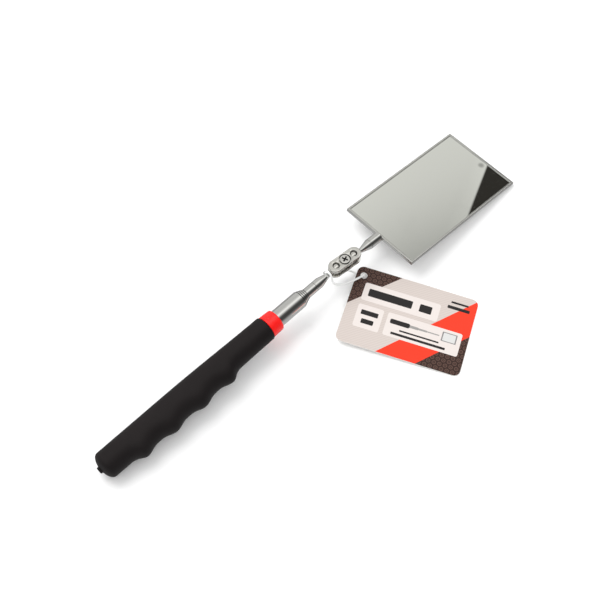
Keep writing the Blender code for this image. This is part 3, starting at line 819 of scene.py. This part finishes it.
def pinProfile(look):
    cup = look["ball"] + look["seatGap"]
    half = math.degrees(math.asin(look["neck"] / cup))
    profile = arcPoints((0, 0), cup, 0, half, 6)
    profile += [(look["neckEnd"] - look["fillet"], look["neck"])]
    cone = math.atan2(look["shank"] - look["neck"], look["coneEnd"] - look["neckEnd"])
    for share in (0.25, 0.5, 0.75, 1.0):
        run = look["fillet"] * share
        profile.append((look["neckEnd"] + run, look["neck"] + math.tan(cone) * run * share))
    return profile


def buildRodPin(look):
    tube = tubeLook
    bore = tube["radius"] - tube["sections"] * tube["step"] - tube["wall"]
    spigot, soft = bore - look["spigotGap"], look["collarSoft"]
    coneEnd, shank = look["coneEnd"], look["shank"]
    end = coneEnd + look["collar"]
    profile = pinProfile(look) + [
        (coneEnd - 0.0004, shank - 0.00008),
        (coneEnd + 0.0004, shank),
        (end - soft, shank),
        (end, shank - soft),
        (end, spigot),
        (end + look["spigotLength"], spigot),
        (end + look["spigotLength"], 0),
    ]
    bm, nodes = spun(profile), ("rod_pin",)
    makePiece("rod_pin_turned", bm, rodPinPlace, chromeHandle, "rod_pin", nodes, 50)


def buildMirrorPin(look):
    coneEnd, shank = look["coneEnd"], look["shank"]
    profile = pinProfile(look) + [
        (coneEnd - 0.0002, shank - 0.00006),
        (coneEnd, shank - 0.00012),
        (coneEnd, look["studRadius"]),
        (look["studEnd"], look["studRadius"]),
        (look["studEnd"], 0),
    ]
    bm, nodes = spun(profile), ("mirror_pin",)
    makePiece("mirror_pin_turned", bm, headPlace, chromeHead, "mirror_pin", nodes, 50)


def buildBall(name, place, body, look):
    bm = spun(arcPoints((0, 0), look["ball"], 180, 0, 36), 72)
    makePiece(name + "_polished", bm, place, nickelClamp, body, (name,))


buildRodPin(pinLook)
buildMirrorPin(pinLook)
buildBall("rod_ball", rodPinPlace, "rod_ball", pinLook)
buildBall("mirror_ball", headPlace, "mirror_ball", pinLook)
print("ball pins built")


# clamp

clampLook = {
    "spacing": 0.0127, "width": 0.0080, "overhang": 0.0044, "gap": 0.0034, "thickness": 0.0015,
    "window": 0.0020, "rimRound": 0.00045, "windowRound": 0.00012, "seatBevel": 0.00066,
    "dish": 0.0034, "dishWall": 0.0005, "dishDepth": 0.0012, "dishFloor": 0.0008,
    "screwHole": 0.00165,
}
screwLook = {
    "shank": 0.0015, "head": 0.0029, "headHeight": 0.0014, "crown": 0.0005, "seat": 0.0021,
    "slotWidth": 0.00075, "slotSpan": 0.0035, "slotDepth": 0.0011, "slotRound": 0.00008, "turn": 25,
    "thread": 0.0005, "threadDepth": 0.00022, "threadSoft": 0.0002,
    "acrossFlats": 0.0055, "nutHeight": 0.0024, "nutRound": 0.00022, "nutGap": 0.00008,
    "tail": 0.0006,
}


def ringOf(bm, points, height):
    verts = [bm.verts.new((x, y, height)) for x, y in points]
    return [bm.edges.new(pair) for pair in zip(verts, verts[1:] + verts[:1])]


def slab(outline, holes, bottom, top):
    # an outline with holes through it, raised from bottom to top
    bm = bmesh.new()
    edges = ringOf(bm, outline, bottom)
    for hole in holes:
        edges += ringOf(bm, hole, bottom)
    bmesh.ops.triangle_fill(bm, use_beauty=True, use_dissolve=False, edges=edges, normal=(0, 0, 1))
    raised = bmesh.ops.extrude_face_region(bm, geom=bm.faces[:])["geom"]
    lifted = [item for item in raised if isinstance(item, bmesh.types.BMVert)]
    bmesh.ops.translate(bm, vec=(0, 0, top - bottom), verts=lifted)
    return turnOutwards(bm)


def bevelWhere(bm, test, offset, segments):
    # rounds the creased edges that pass the test
    edges = [edge for edge in bm.edges if edge.calc_face_angle(0) > 0.6 and test(edge)]
    bmesh.ops.bevel(
        bm, geom=edges, offset=offset, segments=segments, profile=0.5, affect="EDGES",
        material=-1, clamp_overlap=True,
    )


def circlePoints(centre, radius, count):
    return arcPoints(centre, radius, 0, 360 - 360 / count, count - 1)


def evenNormals(piece):
    piece.modifiers.new("even", "WEIGHTED_NORMAL").keep_sharp = True


def buildPlate(look, name, side):
    radius = look["width"] / 2
    straight = look["spacing"] / 2 + look["overhang"] - radius
    outline = arcPoints((straight, 0), radius, -90, 90, 32)
    outline += arcPoints((-straight, 0), radius, 90, 270, 32)
    windows = [(place, 0.0) for place in (-look["spacing"] / 2, look["spacing"] / 2)]
    holes = [circlePoints(window, look["window"], 48) for window in windows]
    holes.append(circlePoints((0, 0), look["dish"], 64))
    low, high = look["gap"] / 2, look["gap"] / 2 + look["thickness"]
    bm = slab(outline, holes, low, high)

    def at(edge, height):
        return all(abs(vert.co.z - height) < mergeDistance for vert in edge.verts)

    def nearWindow(point, margin):
        reach = look["window"] * margin
        return any(math.hypot(point.x - x, point.y - y) < reach for x, y in windows)

    def inWindow(edge):
        return nearWindow((edge.verts[0].co + edge.verts[1].co) / 2, 1.05)

    def onRim(edge):
        middle = (edge.verts[0].co + edge.verts[1].co) / 2
        return not inWindow(edge) and math.hypot(middle.x, middle.y) > look["dish"] * 1.05

    bevelWhere(bm, lambda edge: at(edge, low) and inWindow(edge), look["seatBevel"], 1)
    bevelWhere(bm, lambda edge: at(edge, high) and onRim(edge), look["rimRound"], 4)
    bevelWhere(bm, lambda edge: at(edge, low) and onRim(edge), look["windowRound"], 2)
    bevelWhere(bm, lambda edge: at(edge, high) and not onRim(edge), look["windowRound"], 2)

    # the dish's floor, which stands out on the inner side as a round boss
    floor = high - look["dishDepth"]
    under = floor - look["dishFloor"]
    boss = circlePoints((0, 0), look["dish"] + look["dishWall"], 64)
    hole = circlePoints((0, 0), look["screwHole"], 48)
    joined(bm, slab(boss, [hole], under, floor))
    if side < 0:
        bmesh.ops.scale(bm, vec=(1, 1, -1), verts=bm.verts)
        bmesh.ops.reverse_faces(bm, faces=bm.faces)
    bm.normal_update()

    # painted shade: the dish wall and the window walls take the dark second material, for the shade in them
    def inHollow(middle, normal):
        if abs(normal.z) > 0.6 or abs(middle.z) > high - look["windowRound"]:
            return False
        inDish = look["dish"] * 0.9 < middle.xy.length < look["dish"] * 1.02
        return inDish or nearWindow(middle, 1.1)

    paintShadeFaces(bm, inHollow)
    plate = makePiece(name + "_pressed", bm, clampPlace, nickelClamp, "clamp", (name,))
    plate.data.materials.append(paintedShade)
    evenNormals(plate)


def crossPoints(look):
    # the recess, with its arms' corners cut a little
    arm, half = look["slotSpan"] / 2, look["slotWidth"] / 2
    corner = arm * 0.94
    armEnd = ((half, -half), (corner, -half), (arm, -half * 0.5), (arm, half * 0.5), (corner, half))
    points = []
    for quarter in range(4):
        turn = math.radians(90 * quarter + look["turn"])
        c, s = math.cos(turn), math.sin(turn)
        points += [(x * c - y * s, x * s + y * c) for x, y in armEnd]
    return points


def threadProfile(look, end):
    # (place, radius) points of the shank, from its tail at end up into the head
    shank, pitch = look["shank"], look["thread"]
    root = shank - look["threadDepth"]
    place = end + look["threadSoft"]
    profile = [(end, 0), (end, shank - 0.0003), (place, shank - 0.0001)]
    while place < look["seat"] - pitch:
        profile += [(place + pitch * 0.25, shank), (place + pitch * 0.5, shank)]
        profile += [(place + pitch * 0.75, root), (place + pitch, root)]
        place += pitch
    return profile


def buildScrew(look):
    top = look["seat"] + look["headHeight"]
    head = look["head"]
    bm = slab(circlePoints((0, 0), head, 64), [crossPoints(look)], look["seat"], top)

    def onTop(edge):
        return all(vert.co.z > top - mergeDistance for vert in edge.verts)

    def onHeadRim(edge):
        return onTop(edge) and all(vert.co.xy.length > head * 0.98 for vert in edge.verts)

    def onSlot(edge):
        return onTop(edge) and all(vert.co.xy.length < head * 0.7 for vert in edge.verts)

    bevelWhere(bm, onHeadRim, look["crown"], 5)
    bevelWhere(bm, onSlot, look["slotRound"], 2)
    # the shank and its thread, seen past the nut; its top closes the recess
    floor, collar = top - look["slotDepth"], look["seat"] - 0.0001
    profile = threadProfile(look, -look["seat"] - look["nutHeight"] - look["tail"])
    profile += [(collar, look["shank"]), (collar, head * 0.9)]
    profile += [(floor, head * 0.9), (floor - 0.0003, 0)]
    shank = spun(profile, 48)
    upright = Matrix.Rotation(-math.pi / 2, 3, "Y")
    bmesh.ops.rotate(shank, cent=(0, 0, 0), matrix=upright, verts=shank.verts)
    joined(bm, shank)
    bm.normal_update()
    recess = look["slotSpan"] * 0.56

    # painted shade: the faces down in the cross recess take the dark second material, for the shade in it
    def inRecess(middle, normal):
        return top - 1e-5 > middle.z > floor - 0.0004 and middle.xy.length < recess

    paintShadeFaces(bm, inRecess)
    nodes = ("clamp_screw",)
    screw = makePiece("clamp_screw_cut", bm, clampPlace, nickelScrew, "clamp", nodes)
    screw.data.materials.append(paintedShade)
    evenNormals(screw)


def buildNut(look):
    corner = look["acrossFlats"] / 2 / math.cos(math.radians(30))
    hole = circlePoints((0, 0), look["shank"] + look["nutGap"], 48)
    top = -look["seat"]
    bm = slab(circlePoints((0, 0), corner, 6), [hole], top - look["nutHeight"], top)

    def onCorners(edge):
        return all(vert.co.xy.length > corner * 0.9 for vert in edge.verts)

    bevelWhere(bm, onCorners, look["nutRound"], 2)
    nodes = ("clamp_nut",)
    nut = makePiece("clamp_nut_cut", bm, clampPlace, nickelClamp, "clamp", nodes)
    evenNormals(nut)


buildPlate(clampLook, "clamp_plate_front", 1)
buildPlate(clampLook, "clamp_plate_rear", -1)
buildScrew(screwLook)
buildNut(screwLook)
print("clamp built")


# mirror head

headLook = {
    "reach": 0.0208, "length": 0.0900, "width": 0.0500, "thickness": 0.00254, "sheet": 0.0004,
    "lip": 0.0018, "edgeRound": 0.00055, "lipRound": 0.00016, "lipShadeWidth": 0.0003,
    "tongue": (0.0045, 0.0042, 0.0003), "tongueRound": 0.0008, "tongueLap": 0.0006,
    "tongueLift": 0.00005, "rivetHole": 0.00088,
}


def buildFrame(look):
    # a shallow tray whose edge is folded back over the glass
    size = (look["length"], look["width"], look["thickness"])
    edgeRound, lipRound, sheet = look["edgeRound"], look["lipRound"], look["sheet"]
    bm = bmesh.new()
    bmesh.ops.create_cube(bm, size=1.0)
    bmesh.ops.scale(bm, vec=size, verts=bm.verts)
    bmesh.ops.bevel(
        bm, geom=bm.edges[:], offset=edgeRound, segments=4, profile=0.5, affect="EDGES", material=-1
    )
    bm.faces.ensure_lookup_table()
    top = max(bm.faces, key=lambda face: face.calc_area() * (face.normal.z > 0.9))
    sunk = lipRound * 0.6
    bmesh.ops.inset_region(bm, faces=[top], thickness=look["lip"] - edgeRound - lipRound)
    bmesh.ops.inset_region(bm, faces=[top], thickness=lipRound, depth=-sunk)
    # down through the lip, out under it and down to the tray's floor
    steps = ((0, -sheet + sunk), (look["lip"] - sheet, 0.0), (0, -look["thickness"] + 2 * sheet))
    for grow, drop in steps:
        raised = bmesh.ops.extrude_face_region(bm, geom=[top])["geom"]
        bmesh.ops.delete(bm, geom=[top], context="FACES")
        top = next(item for item in raised if isinstance(item, bmesh.types.BMFace))
        spans = []
        for axis in (0, 1):
            places = [vert.co[axis] for vert in top.verts]
            spans.append(1 + 2 * grow / (max(places) - min(places)))
        bmesh.ops.scale(bm, vec=(*spans, 1), verts=top.verts[:])
        bmesh.ops.translate(bm, vec=(0, 0, drop), verts=top.verts[:])
    turnOutwards(bm)
    inner = look["width"] / 2 - look["lip"]

    # painted shade and painted reflection: the lip's inner walls beside the glass take the dark second material,
    # for the shadow gap and the lip's reflection in the glass
    def inPaintedLipShade(middle, normal):
        besideLip = abs(abs(middle.y) - inner) < look["lipShadeWidth"]
        return abs(normal.y) > 0.5 and besideLip and middle.z > 0

    paintShadeFaces(bm, inPaintedLipShade)
    bmesh.ops.translate(bm, vec=(look["reach"] + look["length"] / 2, 0, 0), verts=bm.verts)
    piece = makePiece("mirror_tray", bm, headPlace, chromeFrame, "mirror_head")
    piece.data.materials.append(paintedLipShade)
    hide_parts("mirror_frame")
    evenNormals(piece)


def buildTongue(look):
    length, width, thick = look["tongue"]
    soft = look["tongueRound"]
    hole = circlePoints((look["reach"] - length * 0.52, 0), look["rivetHole"], 32)
    left, right = look["reach"] - length, look["reach"] + look["tongueLap"]
    outline = [(right, -width / 2), (right, width / 2)]
    outline += arcPoints((left + soft, width / 2 - soft), soft, 90, 180, 6)
    outline += arcPoints((left + soft, soft - width / 2), soft, 180, 270, 6)
    low = -look["thickness"] / 2 + look["tongueLift"]
    bm = slab(outline, [hole], low, low + thick)
    tongue = makePiece("mirror_tongue", bm, headPlace, chromeFrame, "mirror_head")
    evenNormals(tongue)


buildFrame(headLook)
buildTongue(headLook)
smoothCopy("mirror_shank", chromeHead, "mirror_head")
smoothCopy("tongue_rivet", chromeHead, "mirror_head")
dress("mirror_glass", silver)
dress("backing_pad", fibreCard())
print("mirror head built")


# hang tag and its loop

loopLook = {
    "diameter": 0.0012,
    "slack": 1.01,  # its length, against the straight lines between the points
    "lockRadius": 0.0012,
    "lockGap": 0.0003,
    "lockRound": 0.0003,
    "gripPlaces": (-0.35, 0.0, 0.35),  # three shallow grips round the barrel
    "gripHalf": 0.09,
    "gripDepth": 0.0002,
    "route": (
        (0.0071, -0.0006, 0.0046), (0.0092, -0.0014, 0.0036), (0.0109, -0.0027, 0.0022),
        (0.0120, -0.0046, 0.0011), (0.0128, -0.0066, 0.0007), (0.0135, -0.0083, 0.0013),
        (0.0140, -0.0094, 0.0029), (0.0126, -0.0096, 0.0045), (0.0103, -0.0095, 0.0054),
        (0.0070, -0.0091, 0.0062), (0.0030, -0.0083, 0.0070), (-0.0006, -0.0071, 0.0079),
        (-0.0037, -0.0056, 0.0088), (-0.0056, -0.0039, 0.0107), (-0.0057, -0.0030, 0.0137),
        (-0.0057, -0.0018, 0.0160), (-0.0057, 0.0002, 0.0169), (-0.0056, 0.0022, 0.0160),
        (-0.0056, 0.0034, 0.0136), (-0.0052, 0.0039, 0.0106), (-0.0032, 0.0034, 0.0082),
        (-0.0007, 0.0026, 0.0064), (0.0026, 0.0013, 0.0054),
    ),
}

loopRoute = [underBall @ Vector(point) for point in loopLook["route"]]


def buildLock(look):
    start, end = loopRoute[-1], loopRoute[0]
    half = (end - start).length / 2 - look["lockGap"]
    radius, soft, dip = look["lockRadius"], look["lockRound"], look["gripHalf"]
    profile = [(-half, 0.0)] + arcPoints((soft - half, radius - soft), soft, 180, 90, 4)
    for place in look["gripPlaces"]:
        profile.append((half * (place - dip), radius))
        profile.append((half * place, radius - look["gripDepth"]))
        profile.append((half * (place + dip), radius))
    profile += arcPoints((half - soft, radius - soft), soft, 90, 0, 4) + [(half, 0.0)]
    place = placeAt((start + end) / 2, end - start, (0, 0, 1))
    bm, nodes = spun(profile, 48), ("loop_lock",)
    return makePiece("loop_lock_barrel", bm, place, filament, "section_4", nodes)


def buildLoop(look, lock):
    data = bpy.data.curves.new("tag_loop_line", "CURVE")
    data.dimensions = "3D"
    data.bevel_depth = look["diameter"] / 2
    data.bevel_resolution = 4
    data.use_fill_caps = True
    data.resolution_u = 6
    spline = data.splines.new("BEZIER")
    spline.bezier_points.add(len(loopRoute) - 1)
    for point, place in zip(spline.bezier_points, loopRoute):
        point.co = place
        point.handle_left_type = point.handle_right_type = "AUTO"
    data.materials.append(filament)
    loop = bpy.data.objects.new("tag_loop_line", data)
    bpy.context.scene.collection.objects.link(loop)
    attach(loop, "section_4")
    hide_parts("tag_loop")


buildLoop(loopLook, buildLock(loopLook))
dress("tag_card", tagPrint(tagLook))
print("tag hung")
